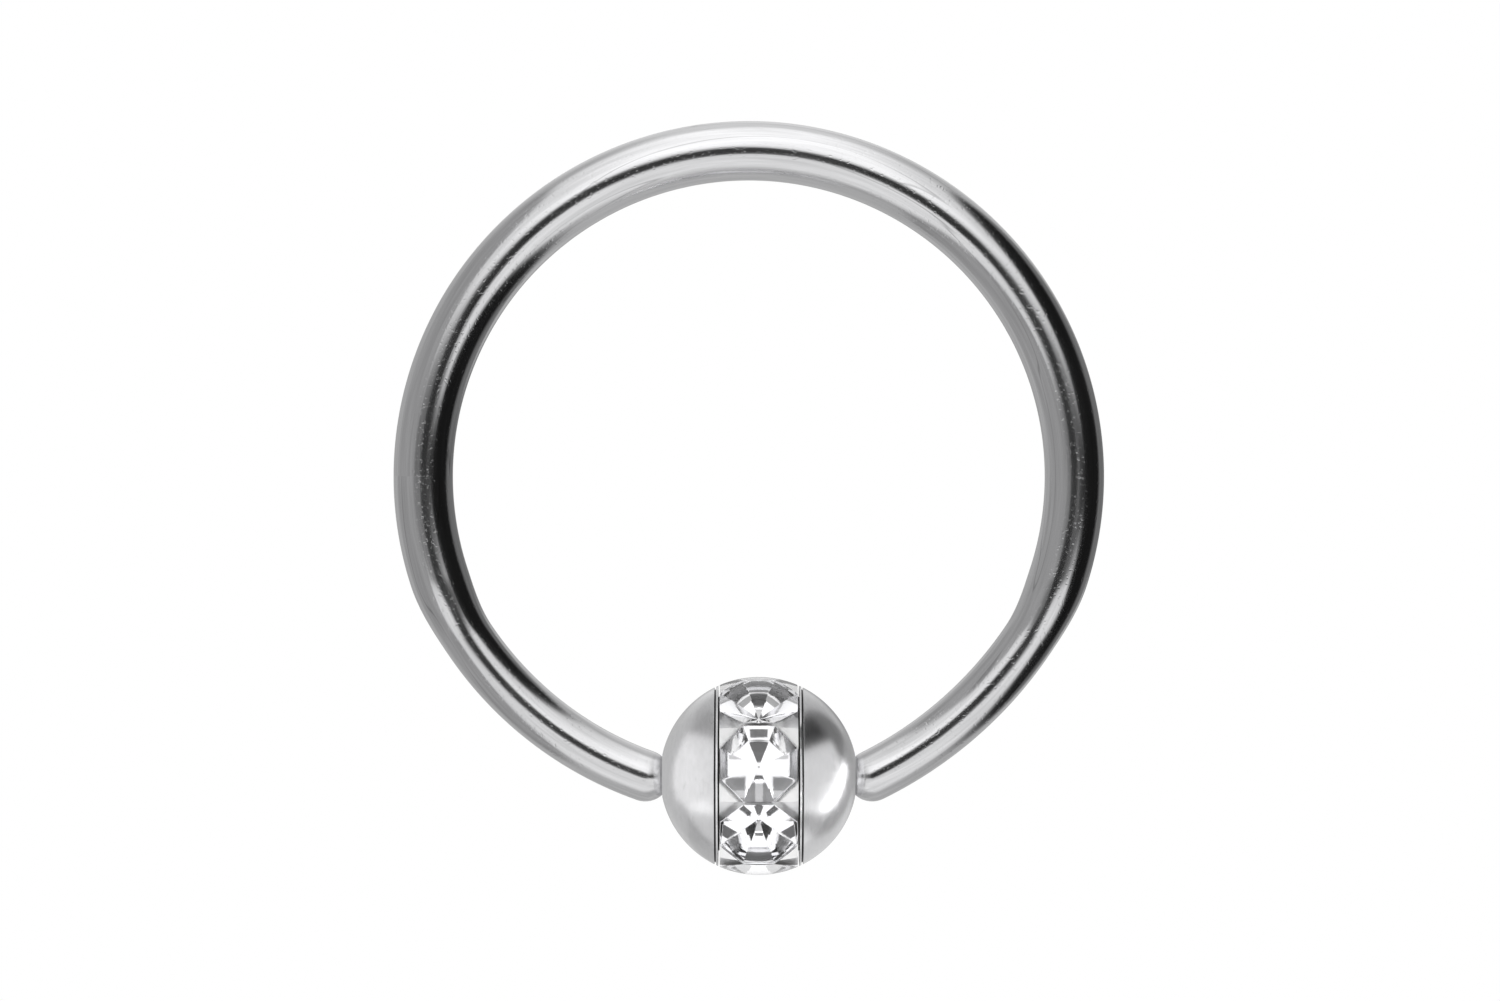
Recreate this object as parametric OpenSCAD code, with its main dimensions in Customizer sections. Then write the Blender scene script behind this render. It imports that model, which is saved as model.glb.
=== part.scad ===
// A captive bead ring: a round wire ring whose two ends hold a ball with a band of clear stones round it.
// It lies as it would on a table, on the ball and on the wire opposite, with the ball towards -Y.
// The origin is on the table, in the middle of the ring and ball together.

/* [Ring] */
// Inner diameter of the ring
ring_inner_d = 12; // [11:0.5:14]
// Thickness of the wire
wire_d = 1.2; // [1:0.1:1.3]
// How far below its middle, in degrees, each side of the ring stays round
round_end = 18; // [16:1:22]
// Radius of the tighter bend that follows on each side
shoulder_r = 5.1; // [4.6:0.1:5.4]
// Turn of that bend in degrees
shoulder_turn = 16; // [10:1:20]
// How much thinner the wire is at its two ball-round ends than in the circle
end_thinning = 0.16; // [0.04:0.02:0.2]
// Number of short stretches in which each tighter bend thins down towards its end
thin_steps = 6; // [4:1:8]

/* [Bead] */
// Diameter of the bead
bead_d = 4; // [3.8:0.1:4.4]
// How far the bead's middle lies inside the circle of the wire's mid line
bead_inset = 0.53; // [0.3:0.01:0.7]
// How far the bead has slid to the right of the ring's middle
bead_shift = 0.2; // [0:0.05:0.3]
// How deep the wire's ends reach below the bead's two poles
tip_sink = 0.22; // [0.18:0.01:0.3]
// Gap between a wire end and the dimple it sits in
dimple_gap = 0.04; // [0.03:0.01:0.08]

/* [Stone channel] */
// Width of the channel round the bead's middle
channel_w = 1.64; // [1.54:0.05:1.74]
// Width of the fine rim along each edge of the channel
rim_w = 0.04; // [0.03:0.01:0.06]
// Width of the fine groove between a rim and the dome beside it
groove_w = 0.035; // [0.03:0.005:0.05]
// Depth of that groove
groove_depth = 0.05; // [0.03:0.01:0.08]
// Thickness of the clear resin over the stones' tables
cover_t = 0.18; // [0.15:0.01:0.21]
// Thinnest wall of resin between a stone's pocket and what is beside it
web_t = 0.03; // [0.025:0.005:0.04]
// Gap between the resin and each wall of the channel
edge_gap = 0.035; // [0.03:0.005:0.045]
// Gap round a stone where it lies in the resin
resin_gap = 0.015; // [0.01:0.005:0.02]

/* [Stones] */
// Number of stones round the bead
stone_count = 7; // [6, 7]
// Turn of the first stone from straight up out of the ring's plane, in degrees
stone_phase = 12; // [0:1:51]
// Width of a stone's small table
table_d = 0.5; // [0.3:0.05:0.6]
// Height of a stone above its girdle
crown_h = 0.2; // [0.12:0.01:0.21]
// Thickness of a stone at its girdle
girdle_t = 0.03; // [0.02:0.005:0.04]
// Depth of a stone below its girdle
pavilion_h = 0.57; // [0.54:0.01:0.6]
// Sides of a stone, each with one facet above its girdle and one below
stone_facets = 8; // [8]
// Depth from the girdle down to the flat of the core that each stone sits in
seat_depth = 0.13; // [0.1:0.01:0.2]
// Gap between a stone's back and the seat it lies in
seat_gap = 0.03; // [0.02:0.01:0.04]

/* [Hidden] */
$fn = 96;
lap = 0.1;

// The wire's path in the ring's own plane, with the bead towards -Y
wire_r = wire_d / 2;
bead_r = bead_d / 2;
ring_r = ring_inner_d / 2 + wire_r;
bead_drop = ring_r - bead_inset;
end_r = wire_r - end_thinning / 2;
seat_x = bead_r - tip_sink + end_r;
shoulder_mid = (ring_r - shoulder_r) * heading(-round_end);

function heading(a) = [cos(a), sin(a)];
function dot(u, v) = u[0] * v[0] + u[1] * v[1];

// The last bend on a side starts where the shoulder ends, square to it, and runs to the middle of the
// ball-round end, which is on the bead's axis
shoulder_end = -round_end - shoulder_turn;
bend_start = shoulder_mid + shoulder_r * heading(shoulder_end);
function seat(shift) = [seat_x + shift, -bead_drop];
function bend_r(shift) = dot(seat(shift) - bend_start, seat(shift) - bend_start)
    / (2 * dot(bend_start - seat(shift), heading(shoulder_end)));
function bend_mid(shift) = bend_start - bend_r(shift) * heading(shoulder_end);
function bend_end(shift) = atan2((seat(shift) - bend_mid(shift))[1], (seat(shift) - bend_mid(shift))[0]);

// How much thinner, in radius, each stretch of a side is than the one before it: the short stretches of
// the tighter bend, the last bend and the ball-round end
draw_down = (wire_r - end_r) / (thin_steps + 2);
dimple_r = end_r + dimple_gap;

// Distance of the stones' girdles from the bead's middle, with the resin over their tables
stone_step = 360 / stone_count;
girdle_rho = bead_r - cover_t - resin_gap - crown_h;

// Half the width, from side to side, of a stone and of its pocket: as much as the channel and the space
// round the bead leave room for
girdle_low = girdle_rho - girdle_t;
pocket_r = min(channel_w / 2 - edge_gap - web_t, girdle_low * tan(stone_step / 2) - web_t / 2);
stone_r = pocket_r - resin_gap;
culet_r = 0.02;
half_facet = 180 / stone_facets;

// Distance of the core's flats, one under each stone, from the bead's middle
flat_rho = girdle_low - seat_depth;

// How the whole thing rests: the bead and the wire opposite both touch the table
rest_tilt = asin((bead_r - wire_r) / (bead_drop + ring_r));
ring_z = wire_r + ring_r * sin(rest_tilt);
rest_front = -bead_drop * cos(rest_tilt) - bead_r;
rest_back = ring_r * cos(rest_tilt) + wire_r;
rest_y = -(rest_front + rest_back) / 2;

module at_ring() {
    translate([0, rest_y, ring_z]) rotate([-rest_tilt, 0, 0]) children();
}

module at_bead() {
    at_ring() translate([bead_shift, -bead_drop, 0]) children();
}

// Wire that follows an arc from one angle, anticlockwise, to another
module wire_arc(middle, r, from, to, thickness_r) {
    translate([middle[0], middle[1], 0]) rotate([0, 0, from])
        rotate_extrude(angle = to - from) translate([r, 0]) circle(r = thickness_r);
}

// The angle that the lap between two stretches takes up on an arc
function lap_angle(r) = lap / r * 180 / PI;

// The shoulder, last bend and ball-round end on the right, for a bead shifted to that side. Each stretch
// starts inside the one before it and is a hair thinner.
module wire_side(shift) {
    turn = shoulder_turn / thin_steps;
    for (k = [1:thin_steps]) {
        to = -round_end - k * turn;
        wire_arc(shoulder_mid, shoulder_r, to, to + turn + lap_angle(shoulder_r), wire_r - k * draw_down);
    }
    wire_arc(bend_mid(shift), bend_r(shift), bend_end(shift), shoulder_end + lap_angle(bend_r(shift)),
        end_r + draw_down);
    translate([seat(shift)[0], seat(shift)[1], 0]) rotate([90, 0, bend_end(shift)]) sphere(r = end_r);
}

module ring() {
    color("silver") at_ring() union() {
        wire_arc([0, 0], ring_r, -round_end, 180 + round_end, wire_r);
        wire_side(bead_shift);
        mirror([1, 0, 0]) wire_side(-bead_shift);
    }
}

// Half of the bead's outline, turned about +Y here, with the channel cut out down to the core
module spool_outline() {
    difference() {
        intersection() {
            circle(r = bead_r);
            translate([0, -bead_r]) square([bead_r, bead_d]);
        }
        translate([0, -channel_w / 2]) square([bead_r, channel_w]);
        for (side = [-1, 1]) {
            groove_y = side * (channel_w / 2 + rim_w + groove_w / 2);
            groove_x = sqrt(bead_r * bead_r - groove_y * groove_y) - groove_depth;
            translate([groove_x, groove_y - groove_w / 2]) square([bead_r, groove_w]);
        }
    }
}

module spool() {
    rotate([0, 90, 0]) rotate_extrude() spool_outline();
}

// A bar along the bead's axis with a flat under each stone, at the given distance from the axis
module flats(distance, width) {
    rotate([180 - stone_phase - stone_step / 2, 0, 0]) rotate([0, 90, 0])
        cylinder(r = distance / cos(stone_step / 2), h = width, center = true, $fn = stone_count);
}

// The core between the domes has a conical seat drilled in each flat, that the stone's back lies in
module core() {
    difference() {
        flats(flat_rho, channel_w + 2 * rim_w);
        for (k = [1:stone_count]) at_stone(k) translate([0, 0, -girdle_t - pavilion_h - seat_gap])
            cylinder(r1 = culet_r, r2 = stone_r / cos(half_facet), h = pavilion_h);
    }
}

module bead_body() {
    color("silver") at_bead() difference() {
        union() {
            spool();
            core();
        }
        for (side = [-1, 1]) translate([side * seat_x, 0, 0]) sphere(r = dimple_r);
    }
}

module at_stone(k) {
    rotate([-stone_phase - (k - 1) * stone_step, 0, 0]) translate([0, 0, girdle_rho]) children();
}

// An upright solid that narrows evenly, with as many sides as a stone and two of them square to X. The
// radii are to the middles of its sides.
module taper(low_r, high_r, height) {
    rotate([0, 0, half_facet])
        cylinder(r1 = low_r / cos(half_facet), r2 = high_r / cos(half_facet), h = height, $fn = stone_facets);
}

// A cut stone with its girdle's upper edge at height 0
module stone() {
    hull() {
        taper(stone_r, table_d / 2, crown_h);
        translate([0, 0, -girdle_t]) taper(stone_r, stone_r, girdle_t);
        translate([0, 0, -girdle_t - pavilion_h]) taper(culet_r, stone_r, pavilion_h);
    }
}

module stone_at(k) {
    color("white") at_bead() at_stone(k) stone();
}

// Room for a stone's crown and girdle, open towards the core
module pocket() {
    translate([0, 0, -girdle_t]) taper(pocket_r, pocket_r, girdle_t);
    taper(pocket_r, table_d / 2 + resin_gap, crown_h + resin_gap);
}

// Clear resin closes the channel flush with the bead, and comes down between the stones' crowns
module resin_cover() {
    cover_w = channel_w - 2 * edge_gap;
    color("gainsboro") at_bead() difference() {
        rotate([0, 90, 0]) rotate_extrude() intersection() {
            circle(r = bead_r);
            translate([0, -cover_w / 2]) square([bead_d, cover_w]);
        }
        flats(girdle_rho - girdle_t / 2, bead_d);
        for (k = [1:stone_count]) at_stone(k) pocket();
    }
}

ring();
bead_body();
for (k = [1:stone_count]) stone_at(k);
resin_cover();
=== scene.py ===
import math

import bmesh
import bpy
from mathutils import Matrix, Vector


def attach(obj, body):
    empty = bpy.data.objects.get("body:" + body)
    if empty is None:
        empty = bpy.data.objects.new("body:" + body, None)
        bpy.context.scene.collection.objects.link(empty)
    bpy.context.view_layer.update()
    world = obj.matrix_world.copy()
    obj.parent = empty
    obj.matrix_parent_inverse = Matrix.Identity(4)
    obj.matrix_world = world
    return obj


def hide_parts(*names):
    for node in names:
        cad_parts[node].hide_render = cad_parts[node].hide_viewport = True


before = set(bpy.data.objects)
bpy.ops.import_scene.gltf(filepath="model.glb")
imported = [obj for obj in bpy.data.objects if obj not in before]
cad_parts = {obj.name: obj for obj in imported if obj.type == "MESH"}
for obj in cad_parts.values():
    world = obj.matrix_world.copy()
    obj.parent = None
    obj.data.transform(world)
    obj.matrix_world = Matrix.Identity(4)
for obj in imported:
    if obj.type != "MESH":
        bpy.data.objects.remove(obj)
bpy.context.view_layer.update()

# The ring of wire
# Round surgical steel wire, bent to a circle and then a little tighter on both sides of the opening.
# It thins a little on the way to its two ends, which are ball-round, and is polished along its length.
mm = 0.001
# The slack within which a part of a mesh counts as being at a place
hair = 0.001 * mm
wire_r = 0.6 * mm
ring_r = 6.6 * mm
# Each side turns in at round_end, in degrees, with a tighter bend, and then to its ball-round end. The wire
# has bend_wire_r where that tighter bend stops and end_r at the end.
round_end = -18
shoulder_r = 5.1 * mm
shoulder_turn = 16
bend_wire_r = 0.53 * mm
end_r = 0.52 * mm
wire_sides = 72
circle_steps = 260
shoulder_steps = 20
bend_steps = 34
# The bead's middle lies bead_drop below the ring's and bead_shift to the right of it. The middle of each
# ball-round end lies seat_reach from the bead's middle, on the bead's axis.
bead_drop = 6.07 * mm
bead_shift = 0.2 * mm
seat_reach = 2.3 * mm
# The ring rests on the bead and on the wire opposite, with the origin midway between its front and back.
# That gives this tilt and this place of the ring's middle, and ring_place takes the ring's own plane, with
# the bead towards -Y, to there.
rest_tilt = math.radians(6.34398)
ring_middle = Vector((0, 0.436623, 1.329282)) * mm
ring_place = Matrix.Translation(ring_middle) @ Matrix.Rotation(-rest_tilt, 4, "X")


def heading(degrees):
    """The way from the ring's middle at an angle, in the ring's own plane."""
    return Vector((math.cos(math.radians(degrees)), math.sin(math.radians(degrees)), 0))


def mirrored(point, side):
    """The point itself for side 1, and its mirror image on the left for side -1."""
    return Vector((point.x * side, point.y, point.z))


def pick(obj, wanted, kind="FACE"):
    """In edit mode, selects the faces, edges or vertices whose middle is where wanted says."""
    bpy.ops.mesh.select_mode(type=kind)
    bpy.ops.mesh.select_all(action="DESELECT")
    mesh = bmesh.from_edit_mesh(obj.data)
    parts = {"FACE": mesh.faces, "EDGE": mesh.edges, "VERT": mesh.verts}[kind]
    for part in parts:
        if kind == "VERT":
            middle = part.co
        elif kind == "EDGE":
            middle = (part.verts[0].co + part.verts[1].co) / 2
        else:
            middle = part.calc_center_median()
        if wanted(middle):
            part.select_set(True)
    mesh.select_flush_mode()
    bmesh.update_edit_mesh(obj.data)


def spin_wire(middle, degrees, steps):
    """Draws the selected open end out along an arc of so many degrees, anticlockwise."""
    bpy.ops.mesh.spin(
        steps=steps, angle=math.radians(-degrees), center=middle, axis=(0, 0, 1), dupli=False
    )


def spin_thinner(middle, start, degrees, steps, first_r, last_r):
    """Spins the selected open end, which is round about start, and thins it smoothly on the way."""
    radius = first_r
    for step in range(1, steps + 1):
        share = step / steps
        next_radius = first_r + (last_r - first_r) * share * share * (3 - 2 * share)
        spin_wire(middle, degrees / steps, 1)
        turned = Matrix.Rotation(math.radians(degrees) * share, 3, "Z") @ (start - middle)
        bpy.ops.transform.resize(value=(next_radius / radius,) * 3, center_override=middle + turned)
        radius = next_radius


def round_off(middle, forward):
    """Closes the selected open end of the wire with a half ball, and a tiny face at its very tip."""
    rings = 11
    last_turn = math.radians(88)
    start = middle
    radius = end_r
    for ring in range(1, rings + 1):
        turn = last_turn * ring / rings
        next_radius = end_r * math.cos(turn)
        target = middle + forward * end_r * math.sin(turn)
        bpy.ops.mesh.extrude_region_move(TRANSFORM_OT_translate={"value": target - start})
        bpy.ops.transform.resize(value=(next_radius / radius,) * 3, center_override=target)
        start = target
        radius = next_radius
    bpy.ops.mesh.edge_face_add()


bpy.ops.object.select_all(action="DESELECT")
bpy.ops.mesh.primitive_circle_add(
    vertices=wire_sides,
    radius=wire_r,
    location=ring_r * heading(round_end),
    rotation=(math.radians(90), 0, math.radians(round_end)),
)
wire_ring = bpy.context.object
wire_ring.name = "wire_ring"
bpy.ops.object.transform_apply(location=True, rotation=True)
bpy.ops.object.mode_set(mode="EDIT")
bpy.ops.mesh.select_all(action="SELECT")
spin_wire((0, 0, 0), 180 - 2 * round_end, circle_steps)
# On each side a tighter bend follows, and a last one that goes on from it to the bead's axis. The left
# side is worked out on the right, with the bead shifted the other way, and mirrored.
for side in (1, -1):
    seat = Vector((seat_reach + side * bead_shift, -bead_drop, 0))
    shoulder_middle = (ring_r - shoulder_r) * heading(round_end)
    shoulder_end = round_end - shoulder_turn
    bend_start = shoulder_middle + shoulder_r * heading(shoulder_end)
    reach = seat - bend_start
    bend_r = reach.dot(reach) / (-2 * reach.dot(heading(shoulder_end)))
    bend_middle = bend_start - bend_r * heading(shoulder_end)
    bend_end = math.degrees(math.atan2(seat.y - bend_middle.y, seat.x - bend_middle.x))
    open_end = mirrored(ring_r * heading(round_end), side)
    along_wire = mirrored(heading(round_end + 90), side)
    pick(
        wire_ring,
        lambda p: (p - open_end).length < 1.1 * wire_r and abs((p - open_end).dot(along_wire)) < 10 * hair,
        "VERT",
    )
    spin_thinner(
        mirrored(shoulder_middle, side),
        open_end,
        -side * shoulder_turn,
        shoulder_steps,
        wire_r,
        bend_wire_r,
    )
    spin_thinner(
        mirrored(bend_middle, side),
        mirrored(bend_start, side),
        side * (bend_end - shoulder_end),
        bend_steps,
        bend_wire_r,
        end_r,
    )
    round_off(mirrored(seat, side), mirrored(heading(bend_end - 90), side))
bpy.ops.mesh.select_all(action="SELECT")
bpy.ops.mesh.normals_make_consistent(inside=False)
bpy.ops.object.mode_set(mode="OBJECT")
wire_ring.matrix_world = ring_place
bpy.ops.object.transform_apply(location=True, rotation=True)
bpy.ops.object.shade_smooth_by_angle(angle=math.radians(35))


def new_material(name, metallic, roughness, colour):
    """A material with the constant values that its shader needs, and its nodes to add to."""
    material = bpy.data.materials.new(name)
    material.use_nodes = True
    shader = material.node_tree.nodes["Principled BSDF"]
    shader.inputs["Metallic"].default_value = metallic
    shader.inputs["Roughness"].default_value = roughness
    shader.inputs["Base Color"].default_value = (*colour, 1)
    return material, shader


def add_node(tree, kind, inputs=None, **settings):
    """A node with its settings, and with each named input either set or linked."""
    node = tree.nodes.new(kind)
    for name, value in settings.items():
        setattr(node, name, value)
    for name, value in (inputs or {}).items():
        if isinstance(value, bpy.types.NodeSocket):
            tree.links.new(value, node.inputs[name])
        else:
            node.inputs[name].default_value = value
    return node


def maths(tree, operation, first, second=0.0, third=0.0):
    """What a Math node gives for up to three values or sockets."""
    return add_node(
        tree, "ShaderNodeMath", {0: first, 1: second, 2: third}, operation=operation
    ).outputs[0]


def make_polish_marks():
    """The node group for polishing lines, hairlines and pits. Vector is stretched along the lines.

    Roughness comes out as the given one, more or less by the spread. Height is for a bump. Tone is 1
    where the surface is clean, and less in a hairline or in dark grain.
    """
    group = bpy.data.node_groups.new("polish_marks", "ShaderNodeTree")
    for name, kind in (
        ("Vector", "NodeSocketVector"),
        ("Roughness", "NodeSocketFloat"),
        ("Spread", "NodeSocketFloat"),
        ("Line Scale", "NodeSocketFloat"),
        ("Pit Scale", "NodeSocketFloat"),
        ("Pit Vector", "NodeSocketVector"),
    ):
        group.interface.new_socket(name, in_out="INPUT", socket_type=kind)
    for name in ("Roughness", "Height", "Tone"):
        group.interface.new_socket(name, in_out="OUTPUT", socket_type="NodeSocketFloat")
    given = group.nodes.new("NodeGroupInput").outputs
    lines = add_node(
        group,
        "ShaderNodeTexNoise",
        {"Vector": given["Vector"], "Scale": given["Line Scale"], "Detail": 4.0, "Roughness": 0.6},
    ).outputs["Fac"]
    pits = add_node(
        group,
        "ShaderNodeTexNoise",
        {"Vector": given["Pit Vector"], "Scale": given["Pit Scale"], "Detail": 2.0, "Roughness": 0.5},
    ).outputs["Fac"]
    deep = add_node(
        group, "ShaderNodeMapRange", {0: pits, 1: 0.28, 2: 0.4, 3: 0.0, 4: 1.0}, clamp=True
    ).outputs[0]
    spread = maths(group, "MULTIPLY", maths(group, "SUBTRACT", lines, 0.5), given["Spread"])
    out = group.nodes.new("NodeGroupOutput").inputs
    group.links.new(maths(group, "ADD", given["Roughness"], spread), out["Roughness"])
    group.links.new(maths(group, "MULTIPLY_ADD", deep, 0.6, lines), out["Height"])
    drawn = add_node(
        group,
        "ShaderNodeTexNoise",
        {"Vector": given["Vector"], "Scale": maths(group, "MULTIPLY", given["Line Scale"], 0.15)},
    ).outputs["Fac"]
    off_line = maths(group, "ABSOLUTE", maths(group, "SUBTRACT", drawn, 0.5))
    hairline = add_node(group, "ShaderNodeMapRange", {0: off_line, 1: 0.0, 2: 0.004, 3: 0.3, 4: 0.0})
    grain = add_node(group, "ShaderNodeMapRange", {0: lines, 1: 0.3, 2: 0.65, 3: 0.2, 4: 0.0})
    darker = maths(group, "ADD", hairline.outputs[0], grain.outputs[0])
    group.links.new(maths(group, "SUBTRACT", 1.0, darker), out["Tone"])
    return group


polish_marks = make_polish_marks()


def add_marks(material, shader, lines, pits, *, spread, line_scale, pit_scale, depth):
    """Puts the polish marks in a material, in its roughness and as a very shallow bump. Returns them.

    Lines and pits are the places on the object that the two kinds of marks are drawn at.
    """
    tree = material.node_tree
    marks = add_node(tree, "ShaderNodeGroup", node_tree=polish_marks)
    for name, value in (
        ("Roughness", shader.inputs["Roughness"].default_value),
        ("Spread", spread),
        ("Line Scale", line_scale),
        ("Pit Scale", pit_scale),
    ):
        marks.inputs[name].default_value = value
    tree.links.new(lines, marks.inputs["Vector"])
    tree.links.new(pits, marks.inputs["Pit Vector"])
    tree.links.new(marks.outputs["Roughness"], shader.inputs["Roughness"])
    bump = add_node(
        tree,
        "ShaderNodeBump",
        {"Strength": 1.0, "Distance": depth, "Height": marks.outputs["Height"]},
    )
    tree.links.new(bump.outputs["Normal"], shader.inputs["Normal"])
    return marks.outputs


def darken(tree, colour, darkest, amount):
    """The colour, or the darkest one as far as the amount says."""
    return add_node(
        tree, "ShaderNodeMix", {0: amount, 6: colour, 7: (*darkest, 1)}, data_type="RGBA"
    ).outputs[2]


def in_millimetres(tree, x_scale=1):
    """The place on the object in millimetres, with the scale along X to choose."""
    place = tree.nodes.new("ShaderNodeTexCoord").outputs["Object"]
    scale = (x_scale / mm, 1 / mm, 1 / mm)
    return add_node(tree, "ShaderNodeMapping", {"Vector": place, "Scale": scale}).outputs[0]


steel_grey = (0.74, 0.74, 0.75)
black = (0, 0, 0)


def wire_steel():
    """Polished steel whose lines run along the bent wire, and darken it a little."""
    material, shader = new_material("polished_wire_steel", 1.0, 0.15, steel_grey)
    tree = material.node_tree
    place = tree.nodes.new("ShaderNodeTexCoord").outputs["Object"]
    flat = add_node(tree, "ShaderNodeMapping", {"Vector": place, "Location": -ring_middle}).outputs[0]
    level = add_node(
        tree,
        "ShaderNodeMapping",
        {"Vector": flat, "Rotation": (rest_tilt, 0, 0), "Scale": (1 / mm, 1 / mm, 1 / mm)},
    ).outputs[0]
    x, y, z = add_node(tree, "ShaderNodeSeparateXYZ", {0: level}).outputs
    # A radian of the wire counts as 0.25 mm, which draws the noise out into lines along it
    along = maths(tree, "MULTIPLY", maths(tree, "ARCTAN2", y, x), 0.25)
    across = maths(tree, "SQRT", maths(tree, "MULTIPLY_ADD", x, x, maths(tree, "MULTIPLY", y, y)))
    lines = add_node(tree, "ShaderNodeCombineXYZ", {0: along, 1: across, 2: z}).outputs[0]
    marks = add_marks(
        material, shader, lines, level, spread=0.12, line_scale=9.0, pit_scale=14.0, depth=0.002 * mm
    )
    worn = maths(tree, "SUBTRACT", 1.0, marks["Tone"])
    tree.links.new(darken(tree, (*steel_grey, 1), black, worn), shader.inputs["Base Color"])
    return material


wire_ring.data.materials.append(wire_steel())
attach(wire_ring, "ring")
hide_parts("ring")
# As in the photo, the bead's domes show the soft boxes and not the wire
wire_ring.visible_glossy = False

# The bead's metal body
# A surgical steel ball, turned on a lathe. A channel is cut round its middle for the stones, with a fine
# rim and groove along each edge, and a dimple in each end that the wire's rounded ends snap into.
bead_r = 2 * mm
bead_middle = ring_place @ Vector((bead_shift, -bead_drop, 0))
# Along the axis from the bead's middle: half the channel's width, and then the rim's and the groove's
channel = 0.82 * mm
rim = 0.04 * mm
groove = 0.035 * mm
groove_depth = 0.05 * mm
channel_floor = 0.9 * mm
# A dimple is a hollow ball round the middle of a wire end, with a gap to it that lets the bead turn
dimple_gap = 0.04 * mm
dimple_r = end_r + dimple_gap
dimple_mouth = (bead_r**2 - dimple_r**2 + seat_reach**2) / (2 * seat_reach)
# The painted shade on a channel wall reaches no deeper than this from the bead's axis
wall_seen = 1.68 * mm
# The near black of the painted shade in the bead's grooves, on its channel walls and in the gap at the
# core's ends
painted_shade_black = (0.02, 0.02, 0.02)


def cut_across(distances):
    """In edit mode, cuts edges round the whole mesh at these distances along the bead's axis."""
    for distance in distances:
        for end in (-1, 1):
            bpy.ops.mesh.select_all(action="SELECT")
            bpy.ops.mesh.bisect(
                plane_co=(end * distance, 0, 0), plane_no=(1, 0, 0), threshold=0.1 * hair
            )


def add_ball(name):
    """A ball as large as the bead round the origin, with its poles on X, left in edit mode."""
    bpy.ops.object.select_all(action="DESELECT")
    bpy.ops.mesh.primitive_uv_sphere_add(
        segments=192, ring_count=96, radius=bead_r, rotation=(0, math.radians(90), 0)
    )
    ball = bpy.context.object
    ball.name = name
    bpy.ops.object.transform_apply(rotation=True)
    bpy.ops.object.mode_set(mode="EDIT")
    return ball


def draw_in(from_r, to_r):
    """Extrudes the selected edges or faces of a ball towards its axis, from one radius to another."""
    bpy.ops.mesh.extrude_region_move()
    bpy.ops.transform.resize(value=(1, to_r / from_r, to_r / from_r), center_override=(0, 0, 0))


def close_in(ball, half_width, floor):
    """Draws a ball's two open edges, half_width from its middle, in to the floor and joins them there."""
    edge_r = math.sqrt(bead_r**2 - half_width**2)
    for end in (-1, 1):
        pick(ball, lambda p: abs(p.x - end * half_width) < hair, "EDGE")
        draw_in(edge_r, floor)
    pick(
        ball,
        lambda p: abs(abs(p.x) - half_width) < hair and math.hypot(p.y, p.z) < floor * 1.001,
        "EDGE",
    )
    bpy.ops.mesh.bridge_edge_loops()


def put_in_place(obj):
    """Leaves edit mode and moves the piece from the origin to the bead's place."""
    bpy.ops.mesh.select_all(action="SELECT")
    bpy.ops.mesh.normals_make_consistent(inside=False)
    bpy.ops.object.mode_set(mode="OBJECT")
    obj.location = bead_middle
    bpy.ops.object.transform_apply(location=True)
    bpy.ops.object.shade_smooth_by_angle(angle=math.radians(30))


bead_shell = add_ball("bead_shell")
cut_across((channel, channel + rim, channel + rim + groove, dimple_mouth))
pick(bead_shell, lambda p: abs(p.x) < channel)
bpy.ops.mesh.delete(type="FACE")
close_in(bead_shell, channel, channel_floor)
groove_r = math.sqrt(bead_r**2 - (channel + rim + groove / 2) ** 2)
for end in (-1, 1):
    pick(bead_shell, lambda p: channel + rim < end * p.x < channel + rim + groove)
    draw_in(groove_r, groove_r - groove_depth)
    # The cap beyond the dimple's mouth is turned in, so that it becomes the dimple
    pick(bead_shell, lambda p: end * p.x > dimple_mouth + hair, "VERT")
    push = (dimple_mouth - (seat_reach - dimple_r)) / (bead_r - dimple_mouth)
    bpy.ops.transform.resize(value=(-push, 1, 1), center_override=(end * dimple_mouth, 0, 0))
put_in_place(bead_shell)
rim_bevel = bead_shell.modifiers.new("softened_edges", "BEVEL")
rim_bevel.width = 0.006 * mm
rim_bevel.segments = 2
rim_bevel.angle_limit = math.radians(50)
bpy.ops.object.modifier_apply(modifier=rim_bevel.name)


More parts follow.
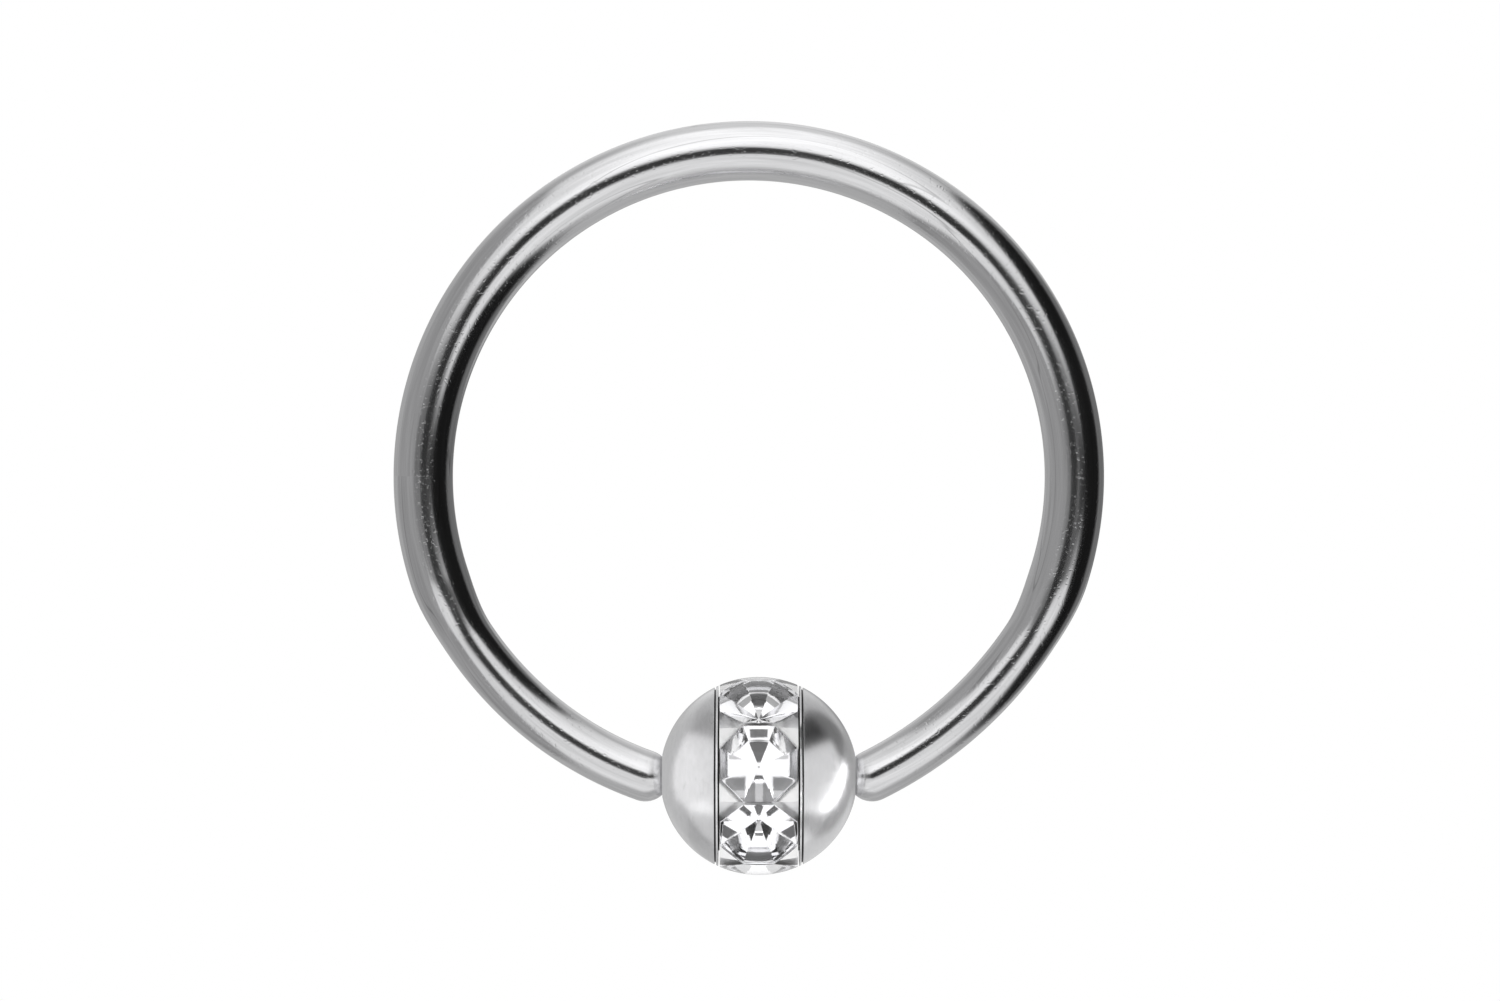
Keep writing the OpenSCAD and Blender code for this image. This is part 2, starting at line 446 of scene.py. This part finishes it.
def bead_steel():
    """Softer polished steel, worn by handling, with painted shade in the grooves and on the channel's
    walls.
    """
    material, shader = new_material("tumbled_bead_steel", 1.0, 0.24, steel_grey)
    tree = material.node_tree
    place = tree.nodes.new("ShaderNodeTexCoord").outputs["Object"]
    lines = in_millimetres(tree, x_scale=3)
    pits = in_millimetres(tree)
    marks = add_marks(
        material, shader, lines, pits, spread=0.05, line_scale=5.0, pit_scale=9.0, depth=0.0003 * mm
    )
    x, y, z = add_node(tree, "ShaderNodeSeparateXYZ", {0: place}).outputs
    aside = maths(tree, "ABSOLUTE", maths(tree, "SUBTRACT", x, bead_shift))
    off_y = maths(tree, "SUBTRACT", y, bead_middle.y)
    off_z = maths(tree, "SUBTRACT", z, bead_middle.z)
    off_y = maths(tree, "MULTIPLY", off_y, off_y)
    off_axis = maths(tree, "SQRT", maths(tree, "MULTIPLY_ADD", off_z, off_z, off_y))
    # Painted shade: the outer part of each channel wall is painted near black, and each groove three
    # quarters of the way to it
    wall = maths(
        tree,
        "MULTIPLY",
        maths(tree, "LESS_THAN", aside, channel + hair),
        maths(tree, "GREATER_THAN", off_axis, wall_seen),
    )
    groove_middle = channel + rim + groove / 2
    in_groove = maths(tree, "COMPARE", aside, groove_middle, groove / 2 + hair)
    painted_shade_amount = maths(tree, "MAXIMUM", wall, maths(tree, "MULTIPLY", in_groove, 0.75))
    worn = maths(tree, "MULTIPLY", maths(tree, "SUBTRACT", 1.0, marks["Tone"]), 0.3)
    clean = darken(tree, (*steel_grey, 1), black, worn)
    tree.links.new(darken(tree, clean, painted_shade_black, painted_shade_amount), shader.inputs["Base Color"])
    return material


bead_shell.data.materials.append(bead_steel())
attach(bead_shell, "bead")
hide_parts("bead_body")

# The core that the stones sit in
# The floor of the channel, in one with the bead: a bar with a flat for each stone and a cone drilled in
# each flat. It is bright, so that what shows of it between the stones stays light.
stone_count = 7
stone_step = math.radians(360 / stone_count)
# The first stone is turned by this much from straight up out of the ring's plane
stone_phase = math.radians(12)
first_turn = rest_tilt + stone_phase
# A stone's girdle lies at girdle_height from the bead's middle, with the crown above and the pointed
# pavilion below. Stone_r is to the middle of a stone's side, and stone_corner to its corner.
girdle_height = 1.605 * mm
girdle = 0.03 * mm
stone_r = 0.7285 * mm
stone_facets = 8
half_facet = math.pi / stone_facets
stone_corner = stone_r / math.cos(half_facet)
crown = 0.2 * mm
pavilion = 0.57 * mm
culet_r = 0.02 * mm
seat_depth = 0.13 * mm
flat_height = girdle_height - girdle - seat_depth
seat_gap = 0.01 * mm
# The gap between the resin and each wall of the channel
edge_gap = 0.035 * mm
core_grey = (0.9, 0.9, 0.9)

# The cones are added to one mesh, which then drills all the seats at once
bpy.ops.object.select_all(action="DESELECT")
for k in range(stone_count):
    turn = first_turn + k * stone_step
    outward = Vector((0, math.sin(turn), math.cos(turn)))
    bpy.ops.mesh.primitive_cone_add(
        vertices=64,
        radius1=culet_r,
        radius2=stone_corner + seat_gap,
        depth=pavilion,
        location=outward * (girdle_height - girdle - seat_gap - pavilion / 2),
        rotation=(-turn, 0, 0),
    )
    if k == 0:
        drill = bpy.context.object
        bpy.ops.object.transform_apply(location=True, rotation=True)
        bpy.ops.object.mode_set(mode="EDIT")
bpy.ops.object.mode_set(mode="OBJECT")
bpy.ops.object.select_all(action="DESELECT")
bpy.ops.mesh.primitive_cylinder_add(
    vertices=stone_count,
    radius=flat_height / math.cos(stone_step / 2),
    depth=2 * channel + rim,
    rotation=(0, math.radians(90), 0),
)
stone_core = bpy.context.object
stone_core.name = "stone_core"
bpy.ops.object.transform_apply(rotation=True)
# The bar is turned until its upmost flat lies under the first stone
upmost = max(stone_core.data.polygons, key=lambda face: face.normal.z).normal
stone_core.rotation_euler.x = math.atan2(upmost.y, upmost.z) - first_turn
bpy.ops.object.transform_apply(rotation=True)
seats = stone_core.modifiers.new("drilled_seats", "BOOLEAN")
seats.operation = "DIFFERENCE"
seats.solver = "EXACT"
seats.object = drill
bpy.ops.object.modifier_apply(modifier=seats.name)
bpy.data.objects.remove(drill)
bpy.ops.object.mode_set(mode="EDIT")
put_in_place(stone_core)


def core_steel():
    """Bright steel, with painted shade in the gap between the resin and the channel's walls."""
    material, shader = new_material("bright_core_steel", 1.0, 0.3, core_grey)
    tree = material.node_tree
    place = tree.nodes.new("ShaderNodeTexCoord").outputs["Object"]
    even = in_millimetres(tree)
    add_marks(
        material, shader, even, even, spread=0.1, line_scale=9.0, pit_scale=12.0, depth=0.002 * mm
    )
    x = add_node(tree, "ShaderNodeSeparateXYZ", {0: place}).outputs["X"]
    aside = maths(tree, "ABSOLUTE", maths(tree, "SUBTRACT", x, bead_shift))
    # Painted shade: the core is painted near black in the gap between the resin and the channel's walls
    in_gap = maths(tree, "GREATER_THAN", aside, channel - edge_gap)
    tree.links.new(darken(tree, (*core_grey, 1), painted_shade_black, in_gap), shader.inputs["Base Color"])
    return material


stone_core.data.materials.append(core_steel())
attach(stone_core, "bead")
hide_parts("bead_body")

# The cut stones
# Seven eight-sided crystals with a small table, a facet on each side above and below, and a pointed
# back. The back is foiled like a mirror, so that it throws the light out again.
table_r = 0.25 * mm


def add_outline(apart, height):
    """A stone's eight-sided outline at a height, with its sides this far from its middle."""
    bpy.ops.mesh.primitive_circle_add(
        vertices=stone_facets,
        radius=apart / math.cos(half_facet),
        location=(0, 0, height),
        rotation=(0, 0, half_facet),
    )


# One stone is made straight above the bead's middle, and its copies are turned to their places
bpy.ops.object.select_all(action="DESELECT")
add_outline(stone_r, girdle_height)
cut_stone = bpy.context.object
bpy.ops.object.transform_apply(location=True, rotation=True)
bpy.ops.object.mode_set(mode="EDIT")
add_outline(stone_r, girdle_height - girdle)
add_outline(table_r, girdle_height + crown)
add_outline(culet_r, girdle_height - girdle - pavilion)
bpy.ops.mesh.select_all(action="SELECT")
bpy.ops.mesh.convex_hull()
bpy.ops.mesh.select_all(action="SELECT")
bpy.ops.mesh.dissolve_limited(angle_limit=math.radians(0.1))
bpy.ops.mesh.select_all(action="SELECT")
bpy.ops.mesh.normals_make_consistent(inside=False)
bpy.ops.object.mode_set(mode="OBJECT")


def crystal():
    """Clear crystal, set against the resin round it, with a trace of wear on its facets."""
    material, shader = new_material("clear_crystal", 0.0, 0.012, (1.0, 1.0, 1.0))
    shader.inputs["Transmission Weight"].default_value = 1.0
    shader.inputs["IOR"].default_value = 1.05
    even = in_millimetres(material.node_tree)
    add_marks(
        material, shader, even, even, spread=0.012, line_scale=6.0, pit_scale=11.0, depth=0.0001 * mm
    )
    return material


def foil():
    """The silvery foil behind a stone, seen through the crystal."""
    material, shader = new_material("silver_foil", 1.0, 0.03, (0.96, 0.96, 0.97))
    even = in_millimetres(material.node_tree)
    add_marks(
        material, shader, even, even, spread=0.03, line_scale=6.0, pit_scale=11.0, depth=0.0001 * mm
    )
    return material


cut_stone.data.materials.append(crystal())
cut_stone.data.materials.append(foil())
# The facets below the girdle are the foiled ones
for face in cut_stone.data.polygons:
    face.material_index = 1 if face.normal.z < -0.1 else 0
for k in range(stone_count):
    stone = cut_stone.copy()
    stone.data = cut_stone.data.copy()
    stone.name = f"cut_stone_{k + 1}"
    bpy.context.collection.objects.link(stone)
    bpy.ops.object.select_all(action="DESELECT")
    stone.select_set(True)
    bpy.context.view_layer.objects.active = stone
    stone.rotation_euler.x = -(first_turn + k * stone_step)
    stone.location = bead_middle
    bpy.ops.object.transform_apply(location=True, rotation=True)
    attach(stone, "bead")
    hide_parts(f"stone_{k + 1}")
bpy.data.objects.remove(cut_stone)

# The clear resin
# Clear epoxy poured over the stones and ground flush with the ball. It fills the channel, so the stones
# lie in it and it is what one touches.
resin_band = add_ball("resin_band")
resin_half = channel - edge_gap
resin_floor = 0.945 * mm
cut_across((resin_half,))
pick(resin_band, lambda p: abs(p.x) > resin_half)
bpy.ops.mesh.delete(type="FACE")
close_in(resin_band, resin_half, resin_floor)
put_in_place(resin_band)


def clear_resin():
    """Hard clear resin, ground flush and polished, with faint scratches from wear."""
    material, shader = new_material("clear_resin", 0.0, 0.015, (1.0, 1.0, 1.0))
    shader.inputs["Transmission Weight"].default_value = 1.0
    shader.inputs["IOR"].default_value = 1.5
    even = in_millimetres(material.node_tree)
    add_marks(
        material, shader, even, even, spread=0.015, line_scale=7.0, pit_scale=10.0, depth=0.0001 * mm
    )
    return material


resin_band.data.materials.append(clear_resin())
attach(resin_band, "bead")
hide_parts("resin_cover")

# Floor, light and camera
# A plain white sheet under the ring that only the camera sees, a tent of soft light described by its
# direction, and the camera square to the ring's plane.
bpy.ops.object.select_all(action="DESELECT")
bpy.ops.mesh.primitive_plane_add(size=0.2)
floor = bpy.context.object
floor.name = "floor"
floor_white = bpy.data.materials.new("floor_white")
floor_white.use_nodes = True
floor_tree = floor_white.node_tree
floor_tree.nodes.clear()
sheet = add_node(floor_tree, "ShaderNodeEmission", {"Color": (1, 1, 1, 1), "Strength": 1.0})
floor_out = floor_tree.nodes.new("ShaderNodeOutputMaterial")
floor_tree.links.new(sheet.outputs[0], floor_out.inputs["Surface"])
floor.data.materials.append(floor_white)
floor.visible_diffuse = False
floor.visible_glossy = False
floor.visible_transmission = False
floor.visible_shadow = False

scene = bpy.context.scene
scene.view_settings.view_transform = "Standard"
scene.cycles.max_bounces = 24
scene.cycles.glossy_bounces = 12
scene.cycles.transmission_bounces = 20

camera_data = bpy.data.cameras.new("camera")
camera = bpy.data.objects.new("camera", camera_data)
scene.collection.objects.link(camera)
# The photo is this wide at the ring, and its middle looks on a point just off the ring's own middle
photo_width = 30.41 * mm
camera_distance = 80 * mm
camera_stand = Vector((0.024 * mm, -0.49 * mm, camera_distance))
camera.location = ring_place @ camera_stand
camera.rotation_euler = (-rest_tilt, 0, 0)
camera_data.sensor_width = 36
camera_data.lens = camera_data.sensor_width * camera_distance / photo_width
camera_data.clip_start = 5 * mm
camera_data.clip_end = 1
scene.camera = camera

# What the camera itself looks like in the steel: a dark disc round the lens, that fades out at its rim
lens_r = 24 * mm
bpy.ops.object.select_all(action="DESELECT")
bpy.ops.mesh.primitive_circle_add(vertices=64, radius=lens_r, fill_type="NGON")
lens = bpy.context.object
lens.name = "lens"
lens.matrix_world = ring_place @ Matrix.Translation(camera_stand + Vector((0, 0, mm)))
lens_black = bpy.data.materials.new("lens_black")
lens_black.use_nodes = True
lens_tree = lens_black.node_tree
lens_tree.nodes.clear()
lens_place = lens_tree.nodes.new("ShaderNodeTexCoord").outputs["Object"]
from_middle = add_node(lens_tree, "ShaderNodeVectorMath", {0: lens_place}, operation="LENGTH")
rim_fade = add_node(
    lens_tree,
    "ShaderNodeMapRange",
    {0: from_middle.outputs["Value"], 1: lens_r - 11 * mm, 2: lens_r - mm, 3: 0.0, 4: 1.0},
    interpolation_type="SMOOTHSTEP",
).outputs[0]
near_black = add_node(lens_tree, "ShaderNodeEmission", {"Color": (0.03, 0.03, 0.03, 1)}).outputs[0]
clear = add_node(lens_tree, "ShaderNodeBsdfTransparent").outputs[0]
lens_mix = add_node(lens_tree, "ShaderNodeMixShader", {0: rim_fade, 1: near_black, 2: clear})
lens_out = lens_tree.nodes.new("ShaderNodeOutputMaterial")
lens_tree.links.new(lens_mix.outputs[0], lens_out.inputs["Surface"])
lens.data.materials.append(lens_black)
lens.visible_camera = False
lens.visible_diffuse = False
lens.visible_shadow = False

# The soft boxes that were set round the bead: they light its two domes and nothing else
bead_only = bpy.data.collections.new("lit_by_bead_boxes")
bead_only.objects.link(bead_shell)
box_distance = 40 * mm


def soft_box(name, toward, width, height, brightness, lean=0):
    """A flat light of a size in millimetres, that faces the bead and leans by so many degrees.

    Toward says where it stands: to the right, up in the ring's own plane, and to the camera.
    """
    box = bpy.data.lights.new(name, "AREA")
    box.shape = "RECTANGLE"
    box.size = width * mm
    box.size_y = height * mm
    box.energy = brightness * math.pi * box.size * box.size_y
    lamp = bpy.data.objects.new(name, box)
    scene.collection.objects.link(lamp)
    way = (ring_place.to_3x3() @ Vector(toward)).normalized()
    lamp.location = bead_middle + way * box_distance
    leaning = Matrix.Rotation(math.radians(lean), 4, "Z")
    lamp.rotation_euler = (way.to_track_quat("Z", "Y").to_matrix().to_4x4() @ leaning).to_euler()
    lamp.light_linking.receiver_collection = bead_only
    lamp.light_linking.blocker_collection = bead_only


soft_box("left_box", (-0.85, 0.0, 0.53), 60, 130, 0.55)
soft_box("left_back_box", (-0.8, 0.0, -0.6), 50, 130, 0.12)
soft_box("left_low_box", (-0.6, -0.8, 0.1), 44, 30, 0.35)
soft_box("right_box", (0.9, -0.06, 0.42), 48, 84, 0.85)
soft_box("right_strip", (0.95, -0.2, -0.25), 5, 32, 4.5, 37)
soft_box("right_back_box", (0.75, -0.4, -0.55), 50, 80, 0.22)
soft_box("right_low_box", (0.6, -0.8, 0.1), 44, 30, 0.28)

world = bpy.data.worlds.new("soft_tent")
scene.world = world
world.use_nodes = True
tent = world.node_tree
tent.nodes.clear()


def fade(value, start, end, low=0.0, high=1.0):
    """Goes smoothly from low, where the value is at the start or before it, to high at the end."""
    return add_node(
        tent,
        "ShaderNodeMapRange",
        {0: value, 1: start, 2: end, 3: low, 4: high},
        interpolation_type="SMOOTHSTEP",
    ).outputs[0]


def times(*factors):
    """The factors multiplied together."""
    product = factors[0]
    for factor in factors[1:]:
        product = maths(tent, "MULTIPLY", product, factor)
    return product


# The direction that light comes from: x to the right, y up in the ring's own plane, z to the camera
world_way = tent.nodes.new("ShaderNodeTexCoord").outputs["Generated"]
direction = add_node(
    tent,
    "ShaderNodeMapping",
    {"Vector": world_way, "Rotation": (rest_tilt, 0, 0)},
).outputs[0]
x, y, z = add_node(tent, "ShaderNodeSeparateXYZ", {0: direction}).outputs
aside = maths(tent, "ABSOLUTE", x)
# What the steel mirrors: a grey room, a sheet of light above and one below, and the light from behind
room = times(fade(x, -0.65, -0.4, 0.4, 0.19), fade(x, -0.1, 0.5, 1.0, 0.06))
top_sheet = times(
    fade(aside, 0.15, 0.5, 1.4, 0.95),
    fade(aside, 0.53, 0.63, 1.0, 0.0),
    fade(y, 0.0, 0.36),
    fade(z, -0.3, 0.05, 0.6, 1.0),
)
low_sheet = times(
    fade(x, 0.56, 0.72, 1.0, 0.0),
    fade(x, -0.62, -0.48),
    fade(y, -0.04, -0.24),
    fade(z, 0.1, 0.45, 0.55, 0.98),
)
behind = times(fade(z, -0.12, -0.45), fade(x, -0.6, 0.6, 0.5, 0.2))
light = room
for part in (top_sheet, low_sheet, behind):
    light = maths(tent, "MAXIMUM", light, part)


def patch(right, up, half_width, half_height, shade):
    """A panel on both sides, at a place to the side and up, that takes its shade times the light."""
    away = maths(tent, "ABSOLUTE", maths(tent, "SUBTRACT", aside, right))
    above = maths(tent, "ABSOLUTE", maths(tent, "SUBTRACT", y, up))
    away = maths(tent, "DIVIDE", away, half_width)
    above = maths(tent, "DIVIDE", above, half_height)
    return fade(maths(tent, "MAXIMUM", away, above), 0.92, 1.08, shade)


# What the crystals mirror: white light, with dark panels and one bright strip that make their stars
inner = times(
    fade(z, -0.1, 0.2, 0.8, 1.2),
    patch(0.0, -0.31, 0.13, 0.11, 0.1),
    patch(0.0, 0.365, 0.145, 0.08, 0.24),
    patch(0.0, 0.37, 0.032, 0.1, 2.2),
    patch(0.0, 0.49, 0.04, 0.025, 0.15),
    patch(0.33, 0.25, 0.08, 0.018, 0.55),
    patch(0.25, 0.03, 0.05, 0.06, 0.6),
    patch(0.4, -0.42, 0.08, 0.07, 0.08),
    patch(0.93, -0.03, 0.1, 0.1, 0.35),
)
# The crystals get that light, the camera plain white behind the ring, and all else the room's light
ray = tent.nodes.new("ShaderNodeLightPath").outputs
light = add_node(
    tent, "ShaderNodeMix", {0: ray["Is Transmission Ray"], 2: light, 3: inner}, data_type="FLOAT"
).outputs[0]
light = add_node(
    tent, "ShaderNodeMix", {0: ray["Is Camera Ray"], 2: light, 3: 1.0}, data_type="FLOAT"
).outputs[0]
glow = add_node(tent, "ShaderNodeBackground", {"Color": light})
world_out = tent.nodes.new("ShaderNodeOutputWorld")
tent.links.new(glow.outputs[0], world_out.inputs["Surface"])

bpy.context.view_layer.update()
